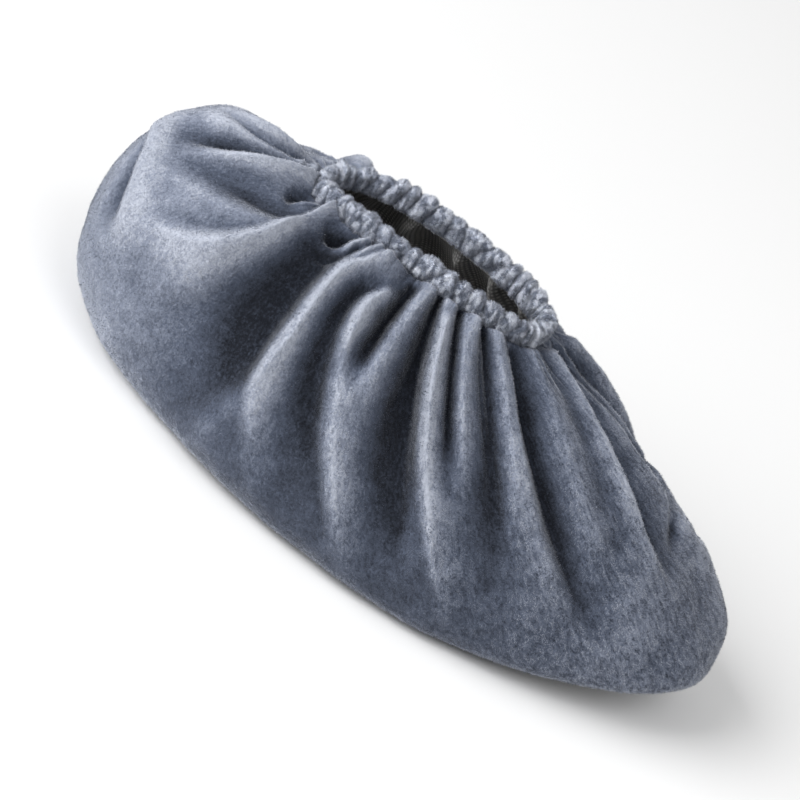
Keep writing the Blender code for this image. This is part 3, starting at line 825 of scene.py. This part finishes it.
def add_pile(name, grid, cloth, painted_shading, pile, random, material, slot):
    """Short fibres that stand out of a cloth face, as one mesh of slim blades in swirls and streaks."""
    count = pile.count
    places = spread_places(grid, count, random)
    root = value_at(grid, places)
    normal = unit(value_at(np.cross(np.gradient(grid, axis=1), np.gradient(grid, axis=0)), places))
    lie = unit(value_at(-np.gradient(grid, axis=0), places))
    stray = random.normal(size=(count, 3))
    swirl = np.stack([value_noise(root, SWIRL_SIZE, SWIRL_SEED + axis) for axis in range(3)], axis=-1)
    lean = STAND_SHARE * normal + LIE_SHARE * lie + pile.stray * stray + SWIRL_LEAN_SHARE * swirl
    lean = unit(lean)
    across = unit(np.cross(lean, normal)) * FIBRE_WIDTH / 2
    length = pile.length * random.uniform(*FIBRE_LENGTHS, (count, 1))
    corners = np.stack([root - across, root + across, root + lean * length], axis=1)
    corners[..., 2] = np.maximum(corners[..., 2], 0.0)
    mesh = bpy.data.meshes.new(name)
    mesh.from_pydata(corners.reshape(-1, 3), [], np.arange(3 * count).reshape(-1, 3))
    mesh.shade_smooth()
    facing = unit(normal + pile.ruffle * stray + SWIRL_FACING_SHARE * swirl)
    mesh.normals_split_custom_set_from_vertices(np.repeat(facing, 3, axis=0).tolist())
    # Each fibre takes the painted highlight and shade of the cloth under it
    painted_shade = value_at(painted_shading, places)
    set_float(mesh, "relief", np.repeat(painted_shade, 3))
    grain = pile.grain * nap_value(root[:, 0], "grain") * (MIDDLE_GRAIN + HEIGHT_GRAIN * painted_shade)
    streak = STREAK_STRENGTH * value_noise(value_at(cloth, places), pile.streak_size, STREAK_SEED)
    streak = np.clip(streak, -pile.streak_limit, pile.streak_limit)
    tone = streak + pile.speckle * random.normal(size=count)
    set_float(mesh, "tuft", np.repeat(grain * tone, 3))
    return add_piece(name, mesh, material, slot)


def upper_painted_shading(points, relief):
    """Painted light and shade of the upper from -1 to 1: painted highlight on crests, painted shade in
    hollows, and the nap table's painted light and shade along the cover.
    """
    total = np.zeros_like(relief)
    for painted_shade in PAINTED_SHADES:
        over = relief - smoothed(relief, painted_shade.rows, painted_shade.columns)
        total += painted_shade.weight * (over / painted_shade.height)
    return np.clip(total + nap_value(points[..., 0], "lift"), -1.0, 1.0)


def add_velvet_upper(material, fibres):
    """The velvet bag: its folded face, the back of its cloth, closed at rim and sole, and its pile."""
    turns = wall_turns(WALL_COLUMNS)
    rises = wall_rises(WALL_ROWS)
    points, normals, relief = folded_wall(turns, rises)
    outer = points + relief[..., None] * normals
    inner = outer - VELVET_DEPTH * normals
    inner_rows = np.unique(np.append(np.arange(0, WALL_ROWS, INNER_ROW_STRIDE), WALL_ROWS - 1))[::-1]
    heights = np.concatenate([rises, rises[inner_rows]]) * CLOTH_HEIGHT
    mesh = lofted_mesh("velvet_upper", np.concatenate([outer, inner[inner_rows]]), heights)
    # Painted highlight on the folds' crests and painted shade in their hollows, stored under the name
    # relief
    painted_shading = upper_painted_shading(points, relief)
    set_float(mesh, "relief", np.concatenate([painted_shading, painted_shading[inner_rows]]))
    cloth = cloth_grid(np.arange(WALL_COLUMNS) / WALL_COLUMNS * CLOTH_GIRTH, rises * CLOTH_HEIGHT)
    random = np.random.default_rng(SEED)
    half = WALL_COLUMNS // 2
    left = np.arange(half + 1)
    right = np.arange(half, WALL_COLUMNS + 1) % WALL_COLUMNS
    piles = [
        add_pile(name, outer[:, side], cloth[:, side], painted_shading[:, side], UPPER_PILE, random, fibres, "velvet")
        for name, side in (("left_pile", left), ("right_pile", right))
    ]
    upper = add_piece("velvet_upper", mesh, material, "velvet", "upper")


def add_woven_lining(material):
    """The woven inner face of the upper."""
    turns = wall_turns(LINING_COLUMNS)
    rises = wall_rises(LINING_ROWS)
    points, normals, relief = folded_wall(turns, rises)
    relief = np.minimum(relief, LINING_TAUTNESS * relief)
    outer, inner = (points + (relief - depth)[..., None] * normals for depth in LINING_DEPTHS)
    heights = np.concatenate([rises, rises[::-1]]) * CLOTH_HEIGHT
    mesh = lofted_mesh("woven_lining", np.concatenate([outer, inner[::-1]]), heights)
    lining = add_piece("woven_lining", mesh, material, "woven_backing")


def add_casing(material, fibres):
    """The gathered tube of the elastic: uneven lumps with slanted creases between them, and its pile."""
    random = np.random.default_rng(SEED)
    turns = even_turns(CASING_COLUMNS, collar_rim)
    rim = collar_rim(turns)
    run = collar_rim(turns + TURN_STEP) - collar_rim(turns - TURN_STEP)
    outward = unit(np.stack([run[:, 1], -run[:, 0], np.zeros(CASING_COLUMNS)], axis=-1))
    share = casing_shares()
    angle = np.arange(CASING_SIDES) / CASING_SIDES * 2 * np.pi
    across = squared(np.cos(angle), CASING_SQUARENESS)[:, None]
    upward = squared(np.sin(angle), CASING_SQUARENESS)[:, None]
    middle = rim[None] + outward[None] * (across * CASING_THICKNESS / 2 - CASING_SEAT)[..., None]
    middle[..., 2] += GAP + CASING_HEIGHT / 2 * (1.0 + upward)
    middle[..., 2] -= CASING_LAP * np.maximum(-upward, 0.0) * (1.0 - across) / 2
    swell = LUMP_HEIGHT * (casing_lumps(share, upward[:, 0]) - MEAN_LUMP)
    for index, (size, height) in enumerate(CASING_KNOBS):
        swell = swell + height * value_noise(middle, size, KNOB_SEED + index)
    rings = middle + outward[None] * (across * swell)[..., None]
    rings[..., 2] += np.maximum(upward, 0.0) * swell
    mesh = lofted_mesh("casing", rings, (np.sin(angle) + 1.0) * CASING_HEIGHT / 2)
    # Painted highlight on the casing's lumps and painted shade in its creases, stored under the name relief
    painted_shading = np.clip(swell / CASING_PAINTED_SHADE_HEIGHT, -1.0, 1.0)
    set_float(mesh, "relief", painted_shading)
    closed = np.pad(rings, ((0, 1), (0, 1), (0, 0)), mode="wrap")
    closed_painted_shading = np.pad(painted_shading, ((0, 1), (0, 1)), mode="wrap")
    girth = np.linalg.norm(np.diff(rim, axis=0), axis=-1).sum()
    heights = np.linspace(0.0, 2.0 * CASING_HEIGHT, CASING_SIDES + 1)
    cloth = cloth_grid(np.append(share, 1.0) * girth, heights)
    add_pile("casing_pile", closed, cloth, closed_painted_shading, CASING_PILE, random, fibres, "casing_velvet")
    casing = add_piece("casing", mesh, material, "casing_velvet", "collar_casing")


def camera_axes():
    """Right, up and backward directions of the rolled camera."""
    turn, tilt, roll = np.radians([CAMERA_AZIMUTH, CAMERA_ELEVATION, CAMERA_ROLL])
    back = np.array([np.sin(turn) * np.cos(tilt), -np.cos(turn) * np.cos(tilt), np.sin(tilt)])
    level = np.array([np.cos(turn), np.sin(turn), 0.0])
    upright = np.cross(back, level)
    right = level * np.cos(roll) + upright * np.sin(roll)
    up = upright * np.cos(roll) - level * np.sin(roll)
    return right, up, back


def looking(place, back, up):
    """World matrix of a camera or light at a place that looks against back, with up upwards."""
    back = Vector(back).normalized()
    right = Vector(up).cross(back).normalized()
    upward = back.cross(right)
    turned = Matrix((right, upward, back)).transposed().to_4x4()
    return Matrix.Translation(Vector(place)) @ turned


def add_camera():
    """The camera of the photograph, aimed a little to the left to frame the cover as it does."""
    right, up, back = camera_axes()
    camera = bpy.data.objects.new("camera", bpy.data.cameras.new("camera"))
    camera.data.lens = CAMERA_LENS
    look = np.array(CAMERA_LOOK)
    place = look + back * CAMERA_DISTANCE
    aim = look - right * CAMERA_AIM_LEFT
    camera.matrix_world = looking(place, place - aim, up)
    bpy.context.scene.collection.objects.link(camera)
    bpy.context.scene.camera = camera


def add_light(light):
    """A square soft light that looks at the cover."""
    way = unit(sum(part * axis for part, axis in zip(light.direction, camera_axes())))
    lamp = bpy.data.objects.new(light.name, bpy.data.lights.new(light.name, "AREA"))
    lamp.data.size = light.size
    lamp.data.energy = light.power
    lamp.matrix_world = looking(np.array(CAMERA_LOOK) + way * LIGHT_DISTANCE, way, LIGHT_UP)
    bpy.context.scene.collection.objects.link(lamp)


def add_floor():
    """A pale floor."""
    mesh = bpy.data.meshes.new("floor")
    corners = [(x * FLOOR_REACH, y * FLOOR_REACH, 0.0) for x, y in ((-1, -1), (1, -1), (1, 1), (-1, 1))]
    mesh.from_pydata(corners, [], [(0, 1, 2, 3)])
    floor = bpy.data.objects.new("floor", mesh)
    floor.location.z = -FLOOR_DROP
    material, _, shader = new_material("floor_paint", FLOOR_ROUGHNESS)
    shader.inputs["Base Color"].default_value = FLOOR_COLOUR
    mesh.materials.append(material)
    bpy.context.scene.collection.objects.link(floor)


def add_studio():
    """Even white surroundings and the soft lights."""
    world = bpy.data.worlds.new("studio")
    world.use_nodes = True
    background = world.node_tree.nodes["Background"]
    background.inputs["Color"].default_value = (1.0, 1.0, 1.0, 1.0)
    background.inputs["Strength"].default_value = WORLD_STRENGTH
    bpy.context.scene.world = world
    bpy.context.scene.view_settings.view_transform = "Standard"
    for light in LIGHTS:
        add_light(light)


def main():
    """The dressed cover in its studio."""
    velvet = velvet_material("velvet", UPPER_VELVET)
    casing_velvet = velvet_material("casing_velvet", CASING_VELVET)
    lining_weave = woven_material("woven_backing", True)
    insole_weave = woven_material("insole_weave", False)
    rubber = rubber_material("sole_rubber")
    add_velvet_upper(velvet, pile_material("velvet_pile", UPPER_VELVET))
    add_woven_lining(lining_weave)
    add_casing(casing_velvet, pile_material("casing_pile", CASING_VELVET))
    for node, material in (("sole", rubber), ("insole", insole_weave)):
        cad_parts[node].data.materials.clear()
        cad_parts[node].data.materials.append(material)
    add_camera()
    add_floor()
    add_studio()


main()
